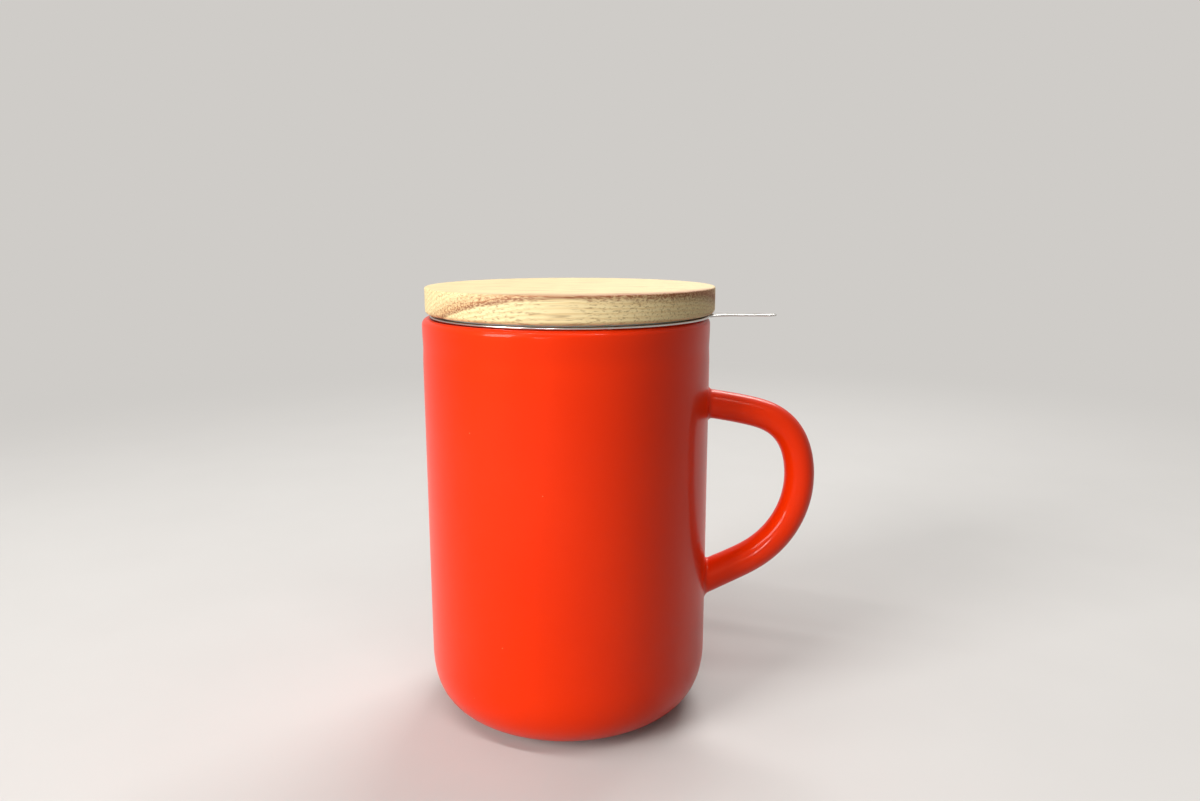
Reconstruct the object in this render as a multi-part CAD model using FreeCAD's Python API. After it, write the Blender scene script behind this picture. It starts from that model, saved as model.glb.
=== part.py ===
import FreeCAD, Part
import math
import os

# A stoneware tea mug with a loop handle, a steel infuser that hangs in its mouth and a wooden lid.
# Sizes are in millimetres and angles in degrees. The origin is on the table under the mug's axis,
# +Z is up, and the handle and the infuser's finger tab point along +X.

# Mug body
mug_radius = 42.5
mug_height = 120.5
mug_wall = 3.8
floor_thickness = 4.5
corner_reach = 18.0  # how far the soft bottom corner runs up the wall, and in under the floor
corner_fullness = 0.71  # 0.55 is a circle's corner, and 1 a sharp one
foot_height = 0.8
foot_width = 3.5
foot_setback = 0.5  # from the end of the corner's curve to the foot ring
foot_edge = 0.4
foot_recess = 2.0  # height of the hollow inside the foot ring

# Handle: a straight upper arm, a tight bend, a wide sweep and a straight lower arm
handle_top_height = 94.3
handle_top_slope = 10.2
handle_top_run = 15.2
handle_bend_radius = 15.6
handle_bend_turn = 60.3
handle_sweep_radius = 30.0
handle_sweep_turn = 82.9
handle_top_diameter = 9.2
handle_bottom_diameter = 10.8
root_sink = 6.0  # how far the rod is drawn past the wall's face before it is trimmed to it

# Infuser collar: a flange on the mug's lip, with a rolled rim, and a neck that drops into the mouth
seat_gap = 0.1
mouth_clearance = 2.0
collar_sheet = 0.5
collar_bend = 1.0
flange_width = 4.6  # from the neck's outside to the rim
rim_proud = 0.25  # how far the rolled rim stands above the flange
neck_depth = 14.0

# Infuser tab
tab_reach = 19.5
tab_width = 13.0
tab_thickness = 0.6

# Infuser sleeve, dish and hem
weld_gap = 0.02
mesh_sheet = 0.4
sleeve_lap = 5.0  # how far the sleeve is lapped inside the neck
infuser_depth = 90.5  # from the flange's underside down to the hem's underside
hem_height = 3.5
dish_step = 0.6  # left between the hem's inner edge and the dish's floor
wall_hole_diameter = 1.8
wall_hole_columns = 36
wall_hole_rows = 12
wall_hole_margin = 3.0  # from a row's centre line to the neck or the dish
floor_hole_diameter = 1.8
floor_hole_pitch = 5.0
floor_hole_margin = 2.0  # from a hole's centre to the hem

# Lid
lid_overhang = 1.3  # past the infuser's rim
lid_thickness = 7.6
lid_top_edge = 0.4
lid_bottom_edge = 1.2
plug_depth = 8.0
plug_lip_height = 2.0
plug_lip = 1.0  # how far the plug's lip stands out to hold the seal
plug_chamfer = 0.6

# Seal: a silicone sleeve round the plug, with a flange under the lid and two ribs
seal_wall = 1.5
seal_slack = 0.05
seal_flange = 0.6
seal_flange_width = 2.8  # from the neck's outside to the seal's edge
seal_rib_height = 0.9
seal_rib_width = 1.2
seal_rib_pitch = 1.6
seal_rib_count = 2
seal_clearance = 0.3  # left between the ribs and the neck

# Heights and radii that follow from the sizes above
mouth_radius = mug_radius - mug_wall
corner_end = mug_radius - corner_reach
mug_floor = foot_recess + floor_thickness
flange_height = mug_height + seat_gap
neck_radius = mouth_radius - mouth_clearance
neck_bore = neck_radius - collar_sheet
neck_bottom = flange_height - neck_depth
collar_radius = neck_radius + flange_width
infuser_bottom = flange_height - infuser_depth
sleeve_radius = neck_bore - weld_gap
sleeve_bore = sleeve_radius - mesh_sheet
rolled_rim = collar_sheet + rim_proud
channel_floor = infuser_bottom + mesh_sheet + weld_gap
dish_radius = sleeve_bore - weld_gap
dish_rim_bore = dish_radius - mesh_sheet
dish_underside = infuser_bottom + hem_height + dish_step
dish_floor = dish_underside + mesh_sheet
hem_bore = dish_rim_bore - weld_gap - mesh_sheet
seal_height = flange_height + collar_sheet + seat_gap
lid_height = seal_height + seal_flange
lid_radius = collar_radius + lid_overhang
seal_flange_radius = neck_radius + seal_flange_width
seal_rib_radius = neck_bore - seal_clearance
seal_radius = seal_rib_radius - seal_rib_height
seal_bore = seal_radius - seal_wall
plug_neck_radius = seal_bore - seal_slack
plug_lip_radius = plug_neck_radius + plug_lip
seal_bottom = lid_height - plug_depth + plug_lip_height + seal_slack

# The infuser hangs off centre in the mouth, pushed towards the handle by its tab
infuser_shift = 0.6 * mouth_clearance

ORIGIN = FreeCAD.Vector(0, 0, 0)
UP = FreeCAD.Vector(0, 0, 1)


def at(radius, height):
    """A point of an outline, in the plane through the axis and the handle."""
    return FreeCAD.Vector(radius, 0, height)


def line(start, end):
    return Part.LineSegment(start, end).toShape()


def lines(*points):
    """Straight edges through the points, in order."""
    return [line(start, end) for start, end in zip(points, points[1:])]


def ring(inner, outer, bottom, top):
    """The closed outline of a ring with a rectangular section."""
    return lines(at(inner, bottom), at(outer, bottom), at(outer, top), at(inner, top), at(inner, bottom))


def arc(centre, radius, first_angle, last_angle):
    """A circular arc in the outline's plane. Angle 0 points outwards and 90 points up."""
    points = []
    for angle in (first_angle, (first_angle + last_angle) / 2, last_angle):
        turn = math.radians(angle)
        points.append(centre + at(radius * math.cos(turn), radius * math.sin(turn)))
    return Part.Arc(*points).toShape()


def soft_corner(radius, height, reach):
    """A corner from a vertical wall to a level floor, fuller than a circle's."""
    pull = reach * (1 - corner_fullness)
    curve = Part.BezierCurve()
    curve.setPoles([
        at(radius, height + reach),
        at(radius, height + pull),
        at(radius - pull, height),
        at(radius - reach, height),
    ])
    return curve.toShape()


def turned(edges):
    """The solid that a closed outline sweeps once round the axis."""
    outline = Part.Wire(edges)
    return Part.Face(outline).revolve(ORIGIN, UP, 360)


def hung(shape):
    """A piece drawn on the infuser's own axis, moved to where the infuser hangs in the mouth."""
    return shape.translated(FreeCAD.Vector(infuser_shift, 0, 0))


def mug_block():
    """Everything inside the mug's outer face, filled."""
    return turned(
        [soft_corner(mug_radius, foot_height, corner_reach)]
        + lines(
            at(corner_end, foot_height),
            at(0, foot_height),
            at(0, mug_height),
            at(mug_radius, mug_height),
            at(mug_radius, foot_height + corner_reach),
        )
    )


def mug_shell():
    foot_outer = corner_end - foot_setback
    foot_inner = foot_outer - foot_width
    lip_radius = mug_wall / 2
    lip_centre = at(mug_radius - lip_radius, mug_height - lip_radius)
    inner_reach = corner_reach - mug_wall
    underside = lines(
        at(corner_end, foot_height),
        at(foot_outer, foot_height),
        at(foot_outer, foot_edge),
        at(foot_outer - foot_edge, 0),
        at(foot_inner + foot_edge, 0),
        at(foot_inner, foot_edge),
        at(foot_inner, foot_recess),
        at(0, foot_recess),
        at(0, mug_floor),
        at(mouth_radius - inner_reach, mug_floor),
    )
    return turned([soft_corner(mug_radius, foot_height, corner_reach)] + underside + [
        soft_corner(mouth_radius, mug_floor, inner_reach),
        line(at(mouth_radius, mug_floor + inner_reach), at(mouth_radius, lip_centre.z)),
        arc(lip_centre, lip_radius, 180, 0),
        line(at(mug_radius, lip_centre.z), at(mug_radius, foot_height + corner_reach)),
    ])


def heading(angle):
    """The unit step in a direction of the outline's plane."""
    return at(math.cos(math.radians(angle)), math.sin(math.radians(angle)))


def bend(start, angle, radius, turn):
    """A clockwise bend that leaves start at the given angle, and the point where it ends."""
    centre = start - heading(angle + 90) * radius
    return arc(centre, radius, angle + 90, angle + 90 - turn), centre + heading(angle + 90 - turn) * radius


def mug_handle():
    top_angle = -handle_top_slope
    sweep_angle = top_angle - handle_bend_turn
    arm_angle = sweep_angle - handle_sweep_turn
    top_root = at(mug_radius, handle_top_height)
    top_end = top_root - heading(top_angle) * root_sink
    bend_start = top_root + heading(top_angle) * handle_top_run
    tight, sweep_start = bend(bend_start, top_angle, handle_bend_radius, handle_bend_turn)
    wide, arm_start = bend(sweep_start, sweep_angle, handle_sweep_radius, handle_sweep_turn)
    arm_length = (mug_radius - arm_start.x) / heading(arm_angle).x + root_sink
    bottom_end = arm_start + heading(arm_angle) * arm_length
    spine = Part.Wire([line(top_end, bend_start), tight, wide, line(arm_start, bottom_end)])
    rod = Part.BRepOffsetAPI.MakePipeShell(spine)
    rod.add(Part.Wire(Part.makeCircle(handle_top_diameter / 2, top_end, heading(top_angle))))
    rod.add(Part.Wire(Part.makeCircle(handle_bottom_diameter / 2, bottom_end, heading(arm_angle))))
    rod.build()
    rod.makeSolid()
    return rod.shape().cut(mug_block())


def infuser_collar():
    rim_centre = at(collar_radius - rolled_rim / 2, flange_height + rolled_rim / 2)
    rim_start = at(rim_centre.x - math.sqrt(collar_sheet * rim_proud), flange_height + collar_sheet)
    bend_centre = at(neck_radius + collar_bend, flange_height - collar_bend)
    rim = Part.Arc(at(rim_centre.x, flange_height), at(collar_radius, rim_centre.z), rim_start).toShape()
    return turned([
        line(at(bend_centre.x, flange_height), at(rim_centre.x, flange_height)),
        rim,
        line(rim_start, at(bend_centre.x, flange_height + collar_sheet)),
        arc(bend_centre, collar_bend + collar_sheet, 90, 180),
        line(at(neck_bore, bend_centre.z), at(neck_bore, neck_bottom)),
        line(at(neck_bore, neck_bottom), at(neck_radius, neck_bottom)),
        line(at(neck_radius, neck_bottom), at(neck_radius, bend_centre.z)),
        arc(bend_centre, collar_bend, 180, 90),
    ])


def infuser_tab():
    """A tongue with a round tip, butted against the rolled rim."""
    underside = flange_height + (rolled_rim - tab_thickness) / 2
    tip_radius = tab_width / 2
    tip_centre = collar_radius + tab_reach - tip_radius
    corner = FreeCAD.Vector(0, -tip_radius, underside)
    tongue = Part.makeBox(tip_centre, tab_width, tab_thickness, corner)
    tip = Part.makeCylinder(tip_radius, tab_thickness, FreeCAD.Vector(tip_centre, 0, underside))
    inside = Part.makeCylinder(collar_radius - rolled_rim / 2, tab_thickness, UP * underside)
    return tongue.fuse(tip).removeSplitter().cut(inside).cut(infuser_collar())


def infuser_wall():
    """The sleeve, with staggered rows of holes."""
    sleeve = turned(ring(sleeve_bore, sleeve_radius, channel_floor, neck_bottom + sleeve_lap))
    first_row = dish_floor + wall_hole_margin
    row_step = (neck_bottom - wall_hole_margin - first_row) / (wall_hole_rows - 1)
    drills = []
    for row in range(wall_hole_rows):
        for column in range(wall_hole_columns):
            angle = math.radians(360 * (column + row % 2 / 2) / wall_hole_columns)
            outwards = FreeCAD.Vector(math.cos(angle), math.sin(angle), 0)
            start = outwards * (sleeve_bore - mesh_sheet) + UP * (first_row + row * row_step)
            drills.append(Part.makeCylinder(wall_hole_diameter / 2, 3 * mesh_sheet, start, outwards))
    return sleeve.cut(Part.makeCompound(drills))


def infuser_floor():
    """A flat dish with a rim turned down inside the sleeve, and rings of holes."""
    dish = turned(lines(
        at(0, dish_underside),
        at(dish_rim_bore, dish_underside),
        at(dish_rim_bore, channel_floor),
        at(dish_radius, channel_floor),
        at(dish_radius, dish_floor),
        at(0, dish_floor),
        at(0, dish_underside),
    ))
    hole_rings = int((hem_bore - floor_hole_margin) / floor_hole_pitch) + 1
    drills = []
    for hole_ring in range(hole_rings):
        places = max(1, 6 * hole_ring)
        for place in range(places):
            angle = math.radians(360 * place / places)
            outwards = FreeCAD.Vector(math.cos(angle), math.sin(angle), 0)
            start = outwards * (hole_ring * floor_hole_pitch) + UP * dish_underside
            drills.append(Part.makeCylinder(floor_hole_diameter / 2, mesh_sheet, start))
    return dish.cut(Part.makeCompound(drills))


def infuser_hem():
    """A folded channel that grips the lower edges of the sleeve and the dish."""
    inner_leg = hem_bore + mesh_sheet
    outer_leg = sleeve_radius + weld_gap
    hem_radius = outer_leg + mesh_sheet
    bottom = infuser_bottom + mesh_sheet
    top = infuser_bottom + hem_height
    return turned(lines(
        at(hem_bore, infuser_bottom),
        at(hem_radius, infuser_bottom),
        at(hem_radius, top),
        at(outer_leg, top),
        at(outer_leg, bottom),
        at(inner_leg, bottom),
        at(inner_leg, top),
        at(hem_bore, top),
        at(hem_bore, infuser_bottom),
    ))


def lid_disc():
    top = lid_height + lid_thickness
    bottom_centre = at(lid_radius - lid_bottom_edge, lid_height + lid_bottom_edge)
    top_centre = at(lid_radius - lid_top_edge, top - lid_top_edge)
    return turned([
        line(at(0, lid_height), at(bottom_centre.x, lid_height)),
        arc(bottom_centre, lid_bottom_edge, -90, 0),
        line(at(lid_radius, bottom_centre.z), at(lid_radius, top_centre.z)),
        arc(top_centre, lid_top_edge, 0, 90),
        line(at(top_centre.x, top), at(0, top)),
        line(at(0, top), at(0, lid_height)),
    ])


def lid_plug():
    bottom = lid_height - plug_depth
    return turned(lines(
        at(0, bottom),
        at(plug_lip_radius - plug_chamfer, bottom),
        at(plug_lip_radius, bottom + plug_chamfer),
        at(plug_lip_radius, bottom + plug_lip_height),
        at(plug_neck_radius, bottom + plug_lip_height),
        at(plug_neck_radius, lid_height),
        at(0, lid_height),
        at(0, bottom),
    ))


def lid_seal():
    """A sleeve trapped round the plug, with ribs that brush the neck and a flange under the lid."""
    outline = [at(seal_bore, seal_bottom), at(seal_radius, seal_bottom)]
    for rib in range(seal_rib_count):
        rib_bottom = seal_bottom + seal_rib_pitch * (rib + 1) - seal_rib_width
        outline.append(at(seal_radius, rib_bottom))
        outline.append(at(seal_rib_radius, rib_bottom + seal_rib_width / 2))
        outline.append(at(seal_radius, rib_bottom + seal_rib_width))
    outline.append(at(seal_radius, seal_height))
    outline.append(at(seal_flange_radius, seal_height))
    outline.append(at(seal_flange_radius, lid_height))
    outline.append(at(seal_bore, lid_height))
    outline.append(outline[0])
    return turned(lines(*outline))


pieces = {
    "mug_shell": mug_shell(),
    "mug_handle": mug_handle(),
    "infuser_collar": hung(infuser_collar()),
    "infuser_tab": hung(infuser_tab()),
    "infuser_wall": hung(infuser_wall()),
    "infuser_floor": hung(infuser_floor()),
    "infuser_hem": hung(infuser_hem()),
    "lid_disc": hung(lid_disc()),
    "lid_plug": hung(lid_plug()),
    "lid_seal": hung(lid_seal()),
}

os.makedirs("parts", exist_ok=True)
for node, shape in pieces.items():
    shape.exportStep(os.path.join("parts", node + ".step"))
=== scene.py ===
"""The looks of a lidded tea mug with an infuser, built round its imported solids.

Sizes in the classes are millimetres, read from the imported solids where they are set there.
The meshes are in metres, +Z is up, and the handle and the infuser's tab point along +X.
"""

import logging
import math
from dataclasses import dataclass
from enum import Enum
from functools import partial
from typing import Any, Callable

import bmesh
import bpy
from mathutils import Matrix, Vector, noise


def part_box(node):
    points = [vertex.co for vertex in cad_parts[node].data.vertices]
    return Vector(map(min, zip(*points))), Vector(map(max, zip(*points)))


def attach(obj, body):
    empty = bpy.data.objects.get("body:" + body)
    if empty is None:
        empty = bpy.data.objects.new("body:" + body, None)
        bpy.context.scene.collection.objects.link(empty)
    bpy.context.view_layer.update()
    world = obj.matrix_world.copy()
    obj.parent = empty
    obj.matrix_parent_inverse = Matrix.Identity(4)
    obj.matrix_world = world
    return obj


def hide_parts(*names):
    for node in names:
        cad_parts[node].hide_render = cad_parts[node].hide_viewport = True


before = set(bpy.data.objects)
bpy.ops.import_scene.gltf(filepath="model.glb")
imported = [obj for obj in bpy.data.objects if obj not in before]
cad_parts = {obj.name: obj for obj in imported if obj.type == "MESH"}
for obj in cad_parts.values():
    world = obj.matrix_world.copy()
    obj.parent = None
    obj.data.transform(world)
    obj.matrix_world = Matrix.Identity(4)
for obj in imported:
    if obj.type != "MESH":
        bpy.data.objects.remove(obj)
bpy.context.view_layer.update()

MM = 0.001
FULL_TURN = 2 * math.pi
NEAR_AXIS = 1e-6
HOLE_CORNERS = 8
log = logging.getLogger("tea_mug")

Outline = list[tuple[float, float]]
Ring = list[bmesh.types.BMVert]
AddNode = Callable[..., bpy.types.Node]


class Body(Enum):
    """The rigid bodies that the pieces ride on."""

    MUG = "mug"
    INFUSER = "infuser"
    LID = "lid"


class Slot(Enum):
    """The record's material slots."""

    GLAZE = "glazed_stoneware"
    PRESSED = "stainless_pressed"
    MESH = "stainless_mesh"
    WOOD = "lid_wood"
    SILICONE = "seal_silicone"


# Colours and shader nodes


def linear(hex_colour: str) -> tuple[float, float, float, float]:
    """Turns an sRGB hex colour into a linear one.

    Args:
        hex_colour: The colour as "#RRGGBB".

    Returns:
        Linear red, green and blue, and an alpha of 1.
    """
    channels = [int(hex_colour[place:place + 2], 16) / 255 for place in (1, 3, 5)]
    red, green, blue = (
        value / 12.92 if value <= 0.04045 else ((value + 0.055) / 1.055) ** 2.4 for value in channels
    )
    return red, green, blue, 1.0


def add_node(
    tree: bpy.types.NodeTree, kind: str, inputs: dict[int | str, Any] | None = None, **settings: Any
) -> bpy.types.Node:
    """Adds a shader node with its settings, values and links.

    Args:
        tree: The node tree that gets the node.
        kind: The node's Blender type, without its first part.
        inputs: For an input's name or number, its value, or the node or output that is linked to it.
        settings: The node's own properties.

    Returns:
        The new node.
    """
    node = tree.nodes.new("ShaderNode" + kind)
    for name, value in settings.items():
        setattr(node, name, value)
    for key, value in (inputs or {}).items():
        socket = node.inputs[key]
        if isinstance(value, bpy.types.Node):
            value = value.outputs[0]
        if isinstance(value, bpy.types.NodeSocket):
            tree.links.new(value, socket)
        else:
            socket.default_value = value
    return node


def new_material(name: str) -> tuple[bpy.types.Material, AddNode, bpy.types.Node]:
    """Starts a material whose patterns are placed in millimetres on the piece itself.

    Args:
        name: The material's name.

    Returns:
        The material, what adds a node to it, and the node that gives a point's place in millimetres.
    """
    material = bpy.data.materials.new(name)
    material.use_nodes = True
    material.node_tree.nodes.clear()
    add = partial(add_node, material.node_tree)
    metres = add("TexCoord").outputs["Object"]
    return material, add, add("VectorMath", {0: metres, "Scale": 1 / MM}, operation="SCALE")


# Finishes


@dataclass(frozen=True)
class GlazedStoneware:
    """Slip-cast stoneware, dipped in a red iron and stain glaze and fired on its bare foot ring.

    The eye sees a deep even orange-red under a clear glassy skin. The skin is softly uneven, so
    reflections waver a little, and it has a few pinholes that catch the light.
    """

    glaze: str = "#F03303"
    glaze_thick: str = "#E62C02"
    pinhole: str = "#F08A5E"
    clay: str = "#C9B79C"
    roughness: float = 0.36
    gloss: float = 0.2
    gloss_tint: str = "#FF8A4C"
    skin: float = 0.22
    skin_roughness: float = 0.08
    clay_roughness: float = 0.85
    drift_mm: float = 28.0
    peel_mm: float = 5.0
    peel_depth_mm: float = 0.02
    pinhole_spacing_mm: float = 7.0
    pinhole_radius_mm: float = 0.22
    pinhole_edge: float = 0.4
    pinhole_skip: float = 0.55
    pinhole_sink: float = -1.5
    bare_height_mm: float = 0.55
    ragged_mm: float = 2.0
    ragged_rise_mm: float = 0.25
    glaze_edge_mm: float = 0.05

    def material(self) -> bpy.types.Material:
        """Builds the glaze, with bare clay below the glaze line of the foot ring."""
        material, add, place = new_material("glazed_stoneware")
        drift = add("TexNoise", {"Vector": place, "Scale": 1 / self.drift_mm, "Detail": 3.0})
        body_colour = add(
            "Mix", {0: drift, 6: linear(self.glaze), 7: linear(self.glaze_thick)}, data_type="RGBA",
        )
        cells = add("TexVoronoi", {"Vector": place, "Scale": 1 / self.pinhole_spacing_mm})
        hole_reach = self.pinhole_radius_mm / self.pinhole_spacing_mm
        dot = add(
            "MapRange",
            {"Value": cells.outputs["Distance"], "From Min": hole_reach,
             "From Max": self.pinhole_edge * hole_reach},
            interpolation_type="SMOOTHSTEP",
        )
        chosen = add("SeparateColor", {"Color": cells.outputs["Color"]})
        kept = add("Math", {0: chosen.outputs[0], 1: self.pinhole_skip}, operation="GREATER_THAN")
        pinholes = add("Math", {0: dot, 1: kept}, operation="MULTIPLY")
        dotted = add(
            "Mix", {0: pinholes, 6: body_colour.outputs[2], 7: linear(self.pinhole)}, data_type="RGBA",
        )
        height = add("SeparateXYZ", {0: place})
        ragged = add("TexNoise", {"Vector": place, "Scale": 1 / self.ragged_mm, "Detail": 2.0})
        glaze_line = add(
            "Math", {0: ragged, 1: self.ragged_rise_mm, 2: height.outputs[2]}, operation="MULTIPLY_ADD",
        )
        bare = add(
            "MapRange",
            {"Value": glaze_line, "From Min": self.bare_height_mm + self.glaze_edge_mm,
             "From Max": self.bare_height_mm - self.glaze_edge_mm},
            interpolation_type="SMOOTHSTEP",
        )
        colour = add("Mix", {0: bare, 6: dotted.outputs[2], 7: linear(self.clay)}, data_type="RGBA")
        roughness = add("Mix", {0: bare, 2: self.roughness, 3: self.clay_roughness}, data_type="FLOAT")
        coat = add("MapRange", {"Value": bare, "To Min": self.skin, "To Max": 0.0})
        peel = add("TexNoise", {"Vector": place, "Scale": 1 / self.peel_mm, "Detail": 1.0})
        surface = add("Math", {0: pinholes, 1: self.pinhole_sink, 2: peel}, operation="MULTIPLY_ADD")
        bump = add("Bump", {"Strength": 1.0, "Distance": self.peel_depth_mm * MM, "Height": surface})
        shader = add(
            "BsdfPrincipled",
            {"Base Color": colour.outputs[2], "Roughness": roughness, "Specular IOR Level": self.gloss,
             "Specular Tint": linear(self.gloss_tint), "Normal": bump, "Coat Weight": coat,
             "Coat Roughness": self.skin_roughness, "Coat Normal": bump},
        )
        add("OutputMaterial", {0: shader})
        return material


@dataclass(frozen=True)
class TurnedHardwood:
    """Pale hardwood, sawn along the grain, turned to a disc, sanded and oiled.

    The eye sees cream wood with fine straight fibres along X. Its yearly rings slope up towards
    the front, so one reddish streak arches over the front edge with a brown cloud behind it, and
    open pores speckle the two end-grain sides. The brown cloud grows stronger towards the right
    end, partly as heartwood and partly as painted shade on the side away from the light. The
    rings are drawn about twice as far apart as the finest real ones.
    """

    early: str = "#EFD9A4"
    late: str = "#DDB97E"
    cloud: str = "#B06C40"
    streak: str = "#7E3F1E"
    pore: str = "#8E6236"
    ring_rise: float = 0.36
    ring_fall_along: float = 0.035
    knot_rise_mm: float = 3.4
    knot_reach_mm: float = 33.0
    knot_steepness: float = 3.0
    ring_mm: float = 1.15
    ring_waver: float = 0.9
    late_rise: tuple[float, float] = (0.25, 0.85)
    late_fall: tuple[float, float] = (1.0, 0.88)
    streak_level_mm: float = 107.6
    streak_width_mm: float = 0.55
    streak_growth: float = 0.032
    streak_fade: float = 1.6
    speckle_fibre: tuple[float, float] = (0.36, 0.62)
    speckle_share: tuple[float, float] = (0.95, 0.25)
    cloud_mm: float = 4.6
    cloud_full_mm: float = 0.4
    cloud_start_mm: tuple[float, float] = (-0.5, 0.3)
    # The cloud's gain along X: partly brown heartwood, partly painted shade that darkens the right end, away
    # from the light.
    cloud_and_shade_span_mm: tuple[float, float] = (-30.0, 40.0)
    cloud_and_right_shade_gain: tuple[float, float] = (1.1, 1.5)
    warp_mm: float = 1.5
    warp_reach_mm: tuple[float, float, float] = (48.0, 13.0, 9.0)
    fibre_mm: float = 0.42
    fibre_length_mm: float = 13.0
    bundle_width: float = 4.0
    bundle_length: float = 3.0
    fibre_grain: float = 0.6
    pore_fibre: tuple[float, float] = (0.5, 0.3)
    pore_share: float = 0.6
    pore_depth_mm: float = 0.05
    roughness: float = 0.62
    roughness_spread: float = 0.12

    def ring_level(self, add: AddNode, place: bpy.types.Node) -> bpy.types.Node:
        """Gives each point's distance across the yearly rings, in millimetres.

        Args:
            add: Adds a node to the material.
            place: Gives a point's place in millimetres.

        Returns:
            The node that gives the distance.
        """
        across = Vector((-self.ring_fall_along, self.ring_rise, 1.0)).normalized()
        flat = add("VectorMath", {0: place, 1: across}, operation="DOT_PRODUCT")
        parts = add("SeparateXYZ", {0: place})
        to_knot = add(
            "MapRange", {"Value": parts.outputs[0], "From Max": self.knot_reach_mm}, clamp=False,
        )
        right_only = add("Math", {0: to_knot, 1: 0.0}, operation="MAXIMUM")
        steep = add("Math", {0: right_only, 1: self.knot_steepness}, operation="POWER")
        bent = add(
            "Math", {0: steep, 1: -self.knot_rise_mm, 2: flat.outputs["Value"]},
            operation="MULTIPLY_ADD",
        )
        slow = add(
            "VectorMath", {0: place, 1: tuple(1 / reach for reach in self.warp_reach_mm)},
            operation="MULTIPLY",
        )
        warp = add("TexNoise", {"Vector": slow, "Scale": 1.0, "Detail": 3.0})
        return add("Math", {0: warp, 1: self.warp_mm, 2: bent}, operation="MULTIPLY_ADD")

    def fibres(
        self, add: AddNode, place: bpy.types.Node, width_mm: float, length_mm: float
    ) -> bpy.types.Node:
        """Gives a pattern of fibres that run along X, and show as dots on end grain.

        Args:
            add: Adds a node to the material.
            place: Gives a point's place in millimetres.
            width_mm: A fibre's width.
            length_mm: Its length.

        Returns:
            The node that gives the pattern, from 0 to 1.
        """
        stretched = add(
            "VectorMath", {0: place, 1: (1 / length_mm, 1 / width_mm, 1 / width_mm)},
            operation="MULTIPLY",
        )
        return add(
            "TexNoise", {"Vector": stretched, "Scale": 1.0, "Detail": 2.0, "Roughness": self.fibre_grain},
        )

    def material(self) -> bpy.types.Material:
        """Builds the wood as one solid block of rings and fibres that the pieces are cut from."""
        material, add, place = new_material("turned_hardwood")
        level = self.ring_level(add, place)
        fine = self.fibres(add, place, self.fibre_mm, self.fibre_length_mm)
        coarse = self.fibres(
            add, place, self.bundle_width * self.fibre_mm, self.bundle_length * self.fibre_length_mm,
        )
        ring = add("Math", {0: level, 1: self.ring_mm}, operation="DIVIDE")
        uneven_ring = add("Math", {0: coarse, 1: self.ring_waver, 2: ring}, operation="MULTIPLY_ADD")
        phase = add("Math", {0: uneven_ring}, operation="FRACT")
        rising = add(
            "MapRange", {"Value": phase, "From Min": self.late_rise[0], "From Max": self.late_rise[1]},
            interpolation_type="SMOOTHSTEP",
        )
        falling = add(
            "MapRange", {"Value": phase, "From Min": self.late_fall[0], "From Max": self.late_fall[1]},
            interpolation_type="SMOOTHSTEP",
        )
        late = add("Math", {0: rising, 1: falling}, operation="MULTIPLY")
        late_share = add("Math", {0: late, 1: coarse}, operation="MULTIPLY")
        ringed = add(
            "Mix", {0: late_share, 6: linear(self.early), 7: linear(self.late)}, data_type="RGBA",
        )
        above_streak = add("Math", {0: level, 1: self.streak_level_mm}, operation="SUBTRACT")
        parts = add("SeparateXYZ", {0: place})
        to_right = add("Math", {0: parts.outputs[0], 1: 0.0}, operation="MAXIMUM")
        width = add(
            "Math", {0: to_right, 1: self.streak_growth, 2: self.streak_width_mm},
            operation="MULTIPLY_ADD",
        )
        off_streak = add("Math", {0: above_streak}, operation="ABSOLUTE")
        near_streak = add("Math", {0: off_streak, 1: width}, operation="DIVIDE")
        streak = add(
            "MapRange", {"Value": near_streak, "From Min": self.streak_fade, "From Max": 0.0},
            interpolation_type="SMOOTHSTEP",
        )
        speckled = add(
            "MapRange",
            {"Value": fine, "From Min": self.speckle_fibre[0], "From Max": self.speckle_fibre[1],
             "To Min": self.speckle_share[0], "To Max": self.speckle_share[1]},
        )
        streak_share = add("Math", {0: streak, 1: speckled}, operation="MULTIPLY")
        cloud_rise = add(
            "MapRange",
            {"Value": above_streak, "From Min": self.cloud_start_mm[0],
             "From Max": self.cloud_start_mm[1]},
            interpolation_type="SMOOTHSTEP",
        )
        cloud_fall = add(
            "MapRange",
            {"Value": above_streak, "From Min": self.cloud_mm, "From Max": self.cloud_full_mm},
            interpolation_type="SMOOTHSTEP",
        )
        cloud = add("Math", {0: cloud_rise, 1: cloud_fall}, operation="MULTIPLY")
        cloud_share = add("Math", {0: cloud, 1: speckled}, operation="MULTIPLY")
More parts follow.
